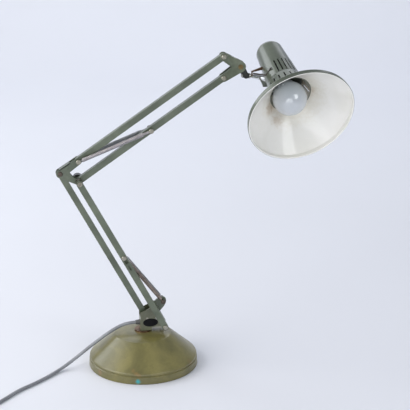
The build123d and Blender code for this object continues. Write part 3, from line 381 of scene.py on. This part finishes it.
def inside_enamel():
    """Aged white enamel inside the shade, yellowed near the bulb and scorched in a few places."""
    s = Shader("white_enamel_inside")
    cloud = s.ramp(s.noise(16.0, 6.0, 0.6, 0.5), 0.35, 0.7)
    colour = s.mix(cloud, (0.83, 0.815, 0.755), (0.885, 0.868, 0.825))
    throat = s.near(THROAT, 0.062, 0.02)
    colour = s.mix(s.math("MULTIPLY", throat, 0.38), colour, (0.62, 0.55, 0.38))
    streaks = s.ramp(s.noise(46.0, 8.0, 0.8, 1.4), 0.50, 0.66)
    for spot, radius in SCORCHES:
        scorch = s.math("MULTIPLY", s.near(spot, radius, 0.007), s.between(streaks, 0.35, 1.0))
        colour = s.mix(s.math("MULTIPLY", scorch, 0.85), colour, (0.36, 0.22, 0.09))
    dirt = s.ramp(s.noise(240.0, 8.0, 0.8), 0.66, 0.74)
    colour = s.mix(s.math("MULTIPLY", dirt, 0.35), colour, (0.50, 0.44, 0.33))
    s.set("Base Color", colour)
    s.set("Roughness", s.between(s.noise(70.0, 5.0), 0.30, 0.46))
    s.set("Specular IOR Level", 0.5)
    s.set("Coat Weight", 0.8)
    s.set("Coat Roughness", 0.10)
    s.bumps(s.noise(90.0, 4.0), 0.0001, 0.25)
    return s.material


def base_paint():
    """The base's olive enamel, with rusty spots and a turquoise one on its front wall."""
    s = worn_paint(
        "olive_enamel_base", BASE_LIGHT, BASE_DARK, BASE_PRIMER,
        wear=0.55, rust=0.45, edge_radius=0.0006, gloss=0.36, coat=0.27,
    )
    return spotted(s)


def spotted(s):
    """Adds the base's own marks over its paint colour."""
    colour = s.surface.inputs["Base Color"].links[0].from_socket
    marks = (
        ((-0.0224, -0.0972, 0.0063), 0.0036, (0.02, 0.36, 0.38), 0.9),
        ((-0.0252, -0.0939, 0.0205), 0.0036, (0.30, 0.17, 0.05), 0.4),
        ((-0.0303, -0.0880, 0.0241), 0.0030, (0.28, 0.16, 0.05), 0.35),
        ((-0.0205, -0.0963, 0.0169), 0.0030, (0.30, 0.17, 0.05), 0.35),
        ((0.0781, -0.0588, 0.0196), 0.0060, (0.22, 0.12, 0.04), 0.3),
        ((-0.0863, -0.0498, 0.0086), 0.0050, (0.26, 0.14, 0.06), 0.4),
    )
    for spot, radius, paint, share in marks:
        colour = s.mix(s.math("MULTIPLY", s.near(spot, radius, 0.0025), share), colour, paint)
    s.set("Base Color", colour)
    return s.material


def pearl_glass():
    """Pearl bulb glass: pale, half clear, with a sharp outer shine, and painted shade that darkens its top.
    """
    s = Shader("pearl_bulb_glass")
    cloud = s.ramp(s.noise(30.0, 5.0, 0.6), 0.3, 0.75)
    glass = s.mix(cloud, (0.66, 0.70, 0.73), (0.76, 0.79, 0.81))
    # Painted shade: the glass colour turns darker and bluer towards the top of the bulb, between heights
    # 0.505 m and 0.540 m.
    s.set("Base Color", s.mix(s.ramp(s.height(0.0), 0.505, 0.540), glass, (0.47, 0.53, 0.57)))
    s.set("Roughness", s.between(s.noise(200.0, 4.0), 0.28, 0.42))
    s.set("Transmission Weight", 0.25)
    s.set("Specular IOR Level", 0.6)
    s.set("Coat Weight", 1.0)
    s.set("Coat IOR", 2.0)
    s.set("Coat Roughness", 0.20)
    s.bumps(s.noise(350.0, 3.0), 0.00003, 0.4)
    return s.material


def sheathed_cord():
    """Grey round mains cord, a little grubby."""
    s = plastic("grey_cord_sheath", (0.265, 0.275, 0.295), (0.19, 0.197, 0.212), 0.42, 500.0, 0.15, 0.0)
    return s.material


def oval_plate():
    """Blank black plate with hardly any shine."""
    s = plastic("black_oval_plate", (0.008, 0.008, 0.009), (0.004, 0.004, 0.005), 0.62, 700.0, 0.04)
    s.set("Specular IOR Level", 0.15)
    return s.material


# Paint: name, light colour, dark colour, primer, wear, rust, edge radius
PAINTS = {
    "bracket": ("olive_enamel_bracket", BRACKET_LIGHT, BRACKET_DARK, (0.30, 0.22, 0.13), 1.0, 0.8, 0.0004),
    "head": ("green_enamel_head", HEAD_LIGHT, HEAD_DARK, (0.40, 0.33, 0.20), 0.5, 0.4, 0.0005),
    "housing": ("green_enamel_housing", HEAD_LIGHT, HEAD_DARK, BARE, 0.4, 0.3, 0.0005),
    "arm": ("green_enamel_arms", ARM_LIGHT, ARM_DARK, BARE, 0.8, 0.5, 0.0004),
    "plates": ("green_enamel_plates", ARM_LIGHT, ARM_DARK, BARE, 0.9, 0.6, 0.0004),
    "head_plate": ("green_enamel_head_plate", (0.190, 0.212, 0.150), ARM_DARK, BARE, 0.7, 0.4, 0.0004),
}

# Metal: name, light colour, dark colour, rust, roughness
METALS = {
    "steel": ("bright_steel", (0.58, 0.57, 0.54), (0.34, 0.32, 0.29), 0.35, 0.30),
    "pins": ("pin_steel", (0.44, 0.42, 0.35), (0.19, 0.17, 0.13), 0.40, 0.34),
    "rusty_pins": ("rusty_pin_steel", (0.14, 0.115, 0.095), (0.06, 0.048, 0.04), 0.36, 0.42),
    "dark_steel": ("blackened_steel", (0.10, 0.10, 0.10), (0.05, 0.048, 0.045), 0.4, 0.42),
    "chrome": ("old_chrome", (0.86, 0.87, 0.88), (0.66, 0.66, 0.66), 0.10, 0.16),
    "brass": ("dull_brass", (0.36, 0.27, 0.14), (0.20, 0.14, 0.07), 0.20, 0.36),
    "brown": ("brown_steel", (0.22, 0.14, 0.09), (0.10, 0.065, 0.045), 0.5, 0.40),
    "casting": ("rough_casting", (0.14, 0.14, 0.14), (0.08, 0.08, 0.08), 0.5, 0.6),
    "spring_rusty": ("spring_wire_rusty", (0.42, 0.36, 0.32), (0.24, 0.17, 0.13), 0.55, 0.34),
    "spring_grey": ("spring_wire_grey", (0.40, 0.41, 0.43), (0.22, 0.23, 0.25), 0.2, 0.34),
    "spring_bright": ("spring_wire_bright", (0.60, 0.57, 0.58), (0.40, 0.36, 0.38), 0.12, 0.42),
}

# Plastic: name, light colour, dark colour, roughness, grain, scuffs
PLASTICS = {
    "black": ("black_moulding", (0.020, 0.020, 0.020), (0.008, 0.008, 0.008), 0.26, 500.0, 0.22),
    "rubber": ("grey_rubber", (0.12, 0.12, 0.12), (0.06, 0.06, 0.06), 0.55, 400.0, 0.4),
    "felt": ("felt_pad", (0.10, 0.11, 0.08), (0.05, 0.055, 0.04), 0.85, 1500.0, 0.5),
    "lead": ("dark_lead", (0.05, 0.035, 0.025), (0.02, 0.015, 0.012), 0.4, 500.0, 0.2),
}


def make_materials():
    materials = {
        "base": base_paint(),
        "inside": inside_enamel(),
        "label": oval_plate(),
        "bulb": pearl_glass(),
        "cord": sheathed_cord(),
    }
    for maker, table in ((worn_paint, PAINTS), (metal, METALS), (plastic, PLASTICS)):
        for key, settings in table.items():
            materials[key] = maker(*settings).material
    return materials


NODE_MATERIALS = {
    "base": ["base_shell"],
    "bracket": ["base_bracket"],
    "head": ["shade", "shade_neck"],
    "housing": ["lamp_housing"],
    "arm": ["lower_rear_bar", "lower_front_bar", "upper_top_bar", "upper_lower_bar"],
    "plates": ["spring_ear"],
    "head_plate": ["head_plate"],
    "steel": ["ear_rivets", "front_washer", "swivel_tube", "swivel_spindle", "holder_bridge"],
    "pins": ["lower_rear_pin", "lower_front_pin", "lower_hook_pin", "elbow_top_pin",
             "elbow_front_pin", "upper_hook_pin", "head_top_pin", "head_low_pin"],
    "rusty_pins": ["elbow_rear_pin", "lower_spring_pin", "elbow_spacer"],
    "dark_steel": ["tilt_block", "bearing_tube"],
    "chrome": ["head_bracket"],
    "brass": ["collar_washer", "head_screw", "bulb_cap", "plug_pins"],
    "brown": ["base_collar", "head_stay"],
    "casting": ["base_ballast"],
    "spring_rusty": ["lower_spring_hooks"],
    "spring_bright": ["upper_spring_hooks"],
    "black": ["elbow_knob", "head_knob", "lampholder", "switch_body", "switch_button", "plug_body"],
    "label": ["label_plate"],
    "rubber": ["cord_gland"],
    "felt": ["base_pad"],
    "lead": ["head_lead"],
    "bulb": ["bulb_glass"],
}


def paint(piece, *materials):
    piece.data.materials.clear()
    for material in materials:
        piece.data.materials.append(material)


def smooth(piece, angle=40.0):
    """Smooth shading with creases kept sharp."""
    piece.data.shade_smooth()
    piece.data.set_sharp_from_angle(angle=math.radians(angle))


# ---------------------------------------------------------------- lamp head
RIM_CENTRE = Vector((0.2614, -0.1235, 0.4902))
HEAD_YAW = math.radians(7.6)
HEAD_PITCH = math.radians(25.3)
HEAD_AXIS = Vector((
    -math.sin(HEAD_YAW) * math.cos(HEAD_PITCH),
    math.cos(HEAD_YAW) * math.cos(HEAD_PITCH),
    math.sin(HEAD_PITCH),
))
RIM_ROLL = 3.0 * MM
INWARD = -0.15
RIM_SLANT = 1.6
RIM_FLOOR = 0.2


def paint_shade(shade, outside, inside):
    """White enamel on the faces that look in or out of the mouth, green on the rest."""
    paint(shade, outside, inside)
    for face in shade.data.polygons:
        offset = face.center - RIM_CENTRE
        along = offset.dot(HEAD_AXIS)
        radial = offset - HEAD_AXIS * along
        outward = face.normal.dot(radial.normalized())
        mouthward = -face.normal.dot(HEAD_AXIS)
        on_rim = along < RIM_ROLL
        faces_mouth = mouthward > RIM_SLANT * max(outward, 0.0) + RIM_FLOOR
        looks_in = outward < INWARD or (on_rim and faces_mouth)
        face.material_index = 1 if looks_in else 0


# ---------------------------------------------------------------- elbow plate
PLATE_SHEET = 1.5 * MM
PLATE_HALF_WIDTH = 6.5 * MM
PLATE_LOBES = (
    ((-0.1432, 0.3738), 0.0072),
    ((-0.1108, 0.3958), 0.0062),
    ((-0.1108, 0.3580), 0.0062),
)
PLATE_NOTCH = ((-0.1255, 0.3768), (-0.1268, 0.3750), (-0.1252, 0.3722), (-0.1209, 0.3668))
WAIST_RUN = 6.7 * MM
WAIST_DROP = 3.6 * MM
LOW_LOBE_START = (0.35, 0.937)
FOLD_START = 0.06
FOLD_END = 0.64


def outer_tangent(first, second):
    """Ends of the straight line that touches both discs on the left of the way from first to second."""
    (start, start_radius), (end, end_radius) = first, second
    gap = math.dist(start, end)
    turn = math.atan2(end[1] - start[1], end[0] - start[0])
    turn += math.acos((start_radius - end_radius) / gap)
    side = (math.cos(turn), math.sin(turn))
    return (
        (start[0] + start_radius * side[0], start[1] + start_radius * side[1]),
        (end[0] + end_radius * side[0], end[1] + end_radius * side[1]),
    )


def arc(centre, start, end, clockwise, steps=10):
    """Points on a circle from one of its points to another."""
    radius = math.dist(centre, start)
    first = math.atan2(start[1] - centre[1], start[0] - centre[0])
    last = math.atan2(end[1] - centre[1], end[0] - centre[0])
    sweep = (first - last) % math.tau if clockwise else (last - first) % math.tau
    sign = -1 if clockwise else 1
    angles = [first + sign * sweep * index / steps for index in range(steps + 1)]
    return [(centre[0] + radius * math.cos(a), centre[1] + radius * math.sin(a)) for a in angles]


def plate_outline():
    """Elbow plate seen from the front, clockwise from its corner: top edge, notch, low lobe, low edge."""
    corner, top, low = PLATE_LOBES
    corner_up, top_up = outer_tangent(corner, top)
    top_down, _ = outer_tangent((top[0], top[1]), (PLATE_NOTCH[0], 0.0001))
    low_in, corner_low = outer_tangent(low, corner)
    waist = (PLATE_NOTCH[-1][0] + WAIST_RUN, PLATE_NOTCH[-1][1] - WAIST_DROP)
    low_out = (low[0][0] + low[1] * LOW_LOBE_START[0], low[0][1] + low[1] * LOW_LOBE_START[1])
    outline = [corner_up]
    outline += arc(top[0], top_up, top_down, True)
    outline += [*PLATE_NOTCH, waist]
    outline += arc(low[0], low_out, low_in, True)
    outline += arc(corner[0], corner_low, corner_up, True)
    return outline


def add_slab(mesh, outline, near, far):
    """Closed slab of an outline in the X-Z plane."""
    front = [mesh.verts.new((x, near, z)) for x, z in outline]
    back = [mesh.verts.new((x, far, z)) for x, z in outline]
    mesh.faces.new(front)
    mesh.faces.new(list(reversed(back)))
    for index, corner in enumerate(front):
        after = (index + 1) % len(front)
        mesh.faces.new((corner, back[index], back[after], front[after]))


def make_elbow_plate(material):
    """Two cheeks with a rounded notch and a strip folded over between them along the upper edge."""
    mesh = bmesh.new()
    outline = plate_outline()
    add_slab(mesh, outline, -PLATE_HALF_WIDTH, PLATE_SHEET - PLATE_HALF_WIDTH)
    add_slab(mesh, outline, PLATE_HALF_WIDTH - PLATE_SHEET, PLATE_HALF_WIDTH)
    start, end = outer_tangent(PLATE_LOBES[0], PLATE_LOBES[1])
    run = Vector(end) - Vector(start)
    inward = Vector((run.y, -run.x)).normalized() * PLATE_SHEET
    low, high = Vector(start) + run * FOLD_START, Vector(start) + run * FOLD_END
    strip = [tuple(low), tuple(high), tuple(high + inward), tuple(low + inward)]
    add_slab(mesh, strip, -PLATE_HALF_WIDTH, PLATE_HALF_WIDTH)
    bmesh.ops.recalc_face_normals(mesh, faces=mesh.faces)
    data = bpy.data.meshes.new("elbow_plate_pressed")
    mesh.to_mesh(data)
    mesh.free()
    plate = bpy.data.objects.new("elbow_plate_pressed", data)
    bpy.context.scene.collection.objects.link(plate)
    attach(plate, "elbow")
    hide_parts("elbow_plate")
    paint(plate, material)
    smooth(plate)


# ---------------------------------------------------------------- springs
PIN_EYE = 2.9 * MM
EYE_STEPS = 18
EYE_MOUTH = 20
STEM_FROM_EYE = 1.2 * MM
STEM_TO_COIL = 2.2 * MM
SPRING_WIRE = 0.62 * MM
SPRING_MEAN = 3.05 * MM
INNER_MEAN = 1.75 * MM
SPRING_LEAD = 7.0 * MM
LOWER_COIL = 99.0 * MM
UPPER_COIL = 116.0 * MM
INNER_LEAD = 4.2 * MM
LOWER_INNER_COIL = 22.0 * MM
UPPER_INNER_COIL = 44.0 * MM
TURN_STEP = 1.28 * MM
STEPS_PER_TURN = 16
WIRE_SIDES = 7


def coil_path(origin, forward, lead, coil_length, mean):
    """Points along the turns of a coil that starts a lead away from its pin."""
    side = Vector((0.0, 1.0, 0.0))
    up = forward.cross(side)
    points = []
    turns = coil_length / TURN_STEP
    for index in range(round(turns * STEPS_PER_TURN)):
        turn = index / STEPS_PER_TURN
        opened = min(1.0, 0.25 + turn * 1.5)
        closing = min(1.0, 0.3 + (turns - turn) * 1.5)
        angle = math.radians(360) * turn
        radius = mean * min(opened, closing)
        across = side * (radius * math.cos(angle)) + up * (radius * math.sin(angle))
        points.append(origin + forward * (lead + turn * TURN_STEP) + across)
    return points


def spring_path(origin, forward, coil_length):
    """Points along a spring's wire: the eye round its pin, the stem, then every turn of the coil."""
    side = Vector((0.0, 1.0, 0.0))
    up = forward.cross(side)

    def place(along, across, rise):
        return origin + forward * along + side * across + up * rise

    points = []
    for index in range(EYE_STEPS + 1):
        angle = math.radians(EYE_MOUTH + index * (360 - EYE_MOUTH) / EYE_STEPS)
        points.append(place(PIN_EYE * math.cos(angle), 0.0, PIN_EYE * math.sin(angle)))
    points.append(place(PIN_EYE + STEM_FROM_EYE, 0.0, 0.0))
    points.append(place(SPRING_LEAD - STEM_TO_COIL, 0.0, 0.0))
    return points + coil_path(origin, forward, SPRING_LEAD, coil_length, SPRING_MEAN)


def wire_mesh(name, points, radius, sides):
    """Round wire along a list of points, closed at both ends."""
    mesh = bmesh.new()
    rings = []
    normal = None
    for index, place in enumerate(points):
        ahead = points[min(index + 1, len(points) - 1)] - points[max(index - 1, 0)]
        ahead.normalize()
        if normal is None:
            normal = ahead.orthogonal().normalized()
        normal = (normal - ahead * normal.dot(ahead)).normalized()
        other = ahead.cross(normal)
        ring = []
        for step in range(sides):
            angle = math.radians(360) * step / sides
            ring.append(mesh.verts.new(place + (normal * math.cos(angle) + other * math.sin(angle)) * radius))
        rings.append(ring)
    for first, second in zip(rings, rings[1:]):
        for step in range(sides):
            after = (step + 1) % sides
            mesh.faces.new((first[step], first[after], second[after], second[step]))
    mesh.faces.new(list(reversed(rings[0])))
    mesh.faces.new(rings[-1])
    mesh.normal_update()
    data = bpy.data.meshes.new(name)
    mesh.to_mesh(data)
    mesh.free()
    data.shade_smooth()
    piece = bpy.data.objects.new(name, data)
    bpy.context.scene.collection.objects.link(piece)
    return piece


def centre_of(node):
    low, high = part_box(node)
    return (low + high) / 2


def spring_line(node, pin, far_pin):
    """Start and direction of a spring's line from one pin to the other, on the spring's own side."""
    start, end = centre_of(pin), centre_of(far_pin)
    low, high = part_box(node)
    start.y = end.y = (low.y + high.y) / 2
    return start, (end - start).normalized()


def add_spring(node, pin, far_pin, coil_length, body, material):
    """Real wound coil in place of the CAD sleeve, from the pin that the spring swings on."""
    points = spring_path(*spring_line(node, pin, far_pin), coil_length)
    coil = wire_mesh("wound_" + node, points, SPRING_WIRE, WIRE_SIDES)
    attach(coil, body)
    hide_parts(node)
    paint(coil, material)


def add_inner_coil(node, pin, far_pin, coil_length, body, material):
    """Narrow turns on the hook's wire, which slide in the wide coil as the spring draws out."""
    points = coil_path(*spring_line(node, far_pin, pin), INNER_LEAD, coil_length, INNER_MEAN)
    coil = wire_mesh("hook_turns_" + node, points, SPRING_WIRE, WIRE_SIDES)
    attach(coil, body)
    paint(coil, material)


# ---------------------------------------------------------------- studio
BACKDROP = (0.732, 0.742, 0.792)
FLOOR_FRONT = -4.0
FLOOR_BACK = 2.2
SWEEP_RADIUS = 1.2
SWEEP_STEPS = 12
WALL_HEIGHT = 5.0
BACKDROP_HALF_WIDTH = 5.0
WORLD_COLOUR = (0.86, 0.91, 1.0, 1.0)
WORLD_STRENGTH = 0.34
LAMP_MIDDLE = (0.05, 0.0, 0.25)

# Light: name, place, target, width, height, power, colour
LIGHTS = (
    ("key", (-2.3, -0.5, 1.4), LAMP_MIDDLE, 2.8, 2.2, 70.0, (1.0, 0.985, 0.96)),
    ("right_window", (1.45, -1.95, 1.50), (0.25, 0.0, 0.5), 0.9, 1.3, 13.0, (0.96, 0.98, 1.0)),
    ("left_panel", (-1.5, 1.35, 1.50), (0.24, 0.0, 0.55), 0.7, 1.5, 12.0, (0.93, 0.97, 1.0)),
    ("low_fill", (-0.5, -2.7, 0.5), (0.25, 0.0, 0.45), 2.0, 1.0, 14.0, (0.95, 0.97, 1.0)),
    ("ceiling", (0.6, -0.2, 2.6), (0.4, 0.0, 0.0), 2.4, 2.4, 8.0, (0.96, 0.98, 1.0)),
    ("far_wash", (0.7, 2.4, 2.4), (0.7, 2.6, 0.0), 3.6, 2.0, 35.0, (0.93, 0.96, 1.0)),
)
UNSEEN_IN_SHINE = "ceiling"


def add_backdrop():
    """Pale floor that sweeps up into a wall far behind the lamp."""
    mesh = bmesh.new()
    profile = [(FLOOR_FRONT, 0.0), (FLOOR_BACK, 0.0)]
    for step in range(1, SWEEP_STEPS + 1):
        angle = math.radians(90 * step / SWEEP_STEPS)
        rise = SWEEP_RADIUS - SWEEP_RADIUS * math.cos(angle)
        profile.append((FLOOR_BACK + SWEEP_RADIUS * math.sin(angle), rise))
    profile.append((FLOOR_BACK + SWEEP_RADIUS, WALL_HEIGHT))
    rows = []
    for y, z in profile:
        rows.append([mesh.verts.new((x, y, z)) for x in (-BACKDROP_HALF_WIDTH, BACKDROP_HALF_WIDTH)])
    for first, second in zip(rows, rows[1:]):
        mesh.faces.new((first[0], first[1], second[1], second[0]))
    data = bpy.data.meshes.new("backdrop")
    mesh.to_mesh(data)
    mesh.free()
    data.shade_smooth()
    backdrop = bpy.data.objects.new("backdrop", data)
    bpy.context.scene.collection.objects.link(backdrop)
    s = Shader("backdrop_paper")
    tone = s.ramp(s.noise(1.3, 2.0), 0.3, 0.7)
    s.set("Base Color", s.mix(tone, BACKDROP, tuple(part * 0.985 for part in BACKDROP)))
    s.set("Roughness", s.between(s.noise(60.0, 3.0), 0.9, 1.0))
    s.set("Specular IOR Level", 0.05)
    paint(backdrop, s.material)
    return backdrop


def add_light(name, place, target, width, height, power, colour):
    data = bpy.data.lights.new(name, "AREA")
    data.shape = "RECTANGLE"
    data.size = width
    data.size_y = height
    data.energy = power
    data.color = colour
    lamp = bpy.data.objects.new(name, data)
    lamp.location = place
    lamp.rotation_euler = (Vector(place) - Vector(target)).to_track_quat("Z", "Y").to_euler()
    bpy.context.scene.collection.objects.link(lamp)
    return lamp


def add_studio():
    world = bpy.data.worlds.new("studio")
    world.use_nodes = True
    background = world.node_tree.nodes["Background"]
    background.inputs["Color"].default_value = WORLD_COLOUR
    background.inputs["Strength"].default_value = WORLD_STRENGTH
    bpy.context.scene.world = world
    lights = [add_light(*settings) for settings in LIGHTS]
    for light in lights:
        light.visible_glossy = light.name != UNSEEN_IN_SHINE
    add_backdrop()
    settings = bpy.context.scene.view_settings
    settings.view_transform = "Standard"
    settings.look = "None"


# ---------------------------------------------------------------- the scene
def build():
    cord = make_cord()
    materials = make_materials()
    paint(cord, materials["cord"])
    for key, nodes in NODE_MATERIALS.items():
        for node in nodes:
            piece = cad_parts[node]
            paint(piece, materials[key])
            smooth(piece)
    for node in ("shade", "shade_neck"):
        paint_shade(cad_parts[node], materials["head"], materials["inside"])
    make_elbow_plate(materials["plates"])
    lower, upper = ("lower_spring_pin", "lower_hook_pin"), ("elbow_top_pin", "upper_hook_pin")
    for end, tone in (("near", "spring_rusty"), ("far", "spring_grey")):
        add_spring("lower_spring_" + end, *lower, LOWER_COIL, "lower_springs", materials[tone])
        add_inner_coil("lower_spring_" + end, *lower, LOWER_INNER_COIL, "lower_hooks", materials[tone])
    for end, tone in (("near", "spring_bright"), ("far", "spring_grey")):
        add_spring("upper_spring_" + end, *upper, UPPER_COIL, "upper_springs", materials[tone])
        add_inner_coil("upper_spring_" + end, *upper, UPPER_INNER_COIL, "upper_hooks", materials[tone])
    add_studio()


build()
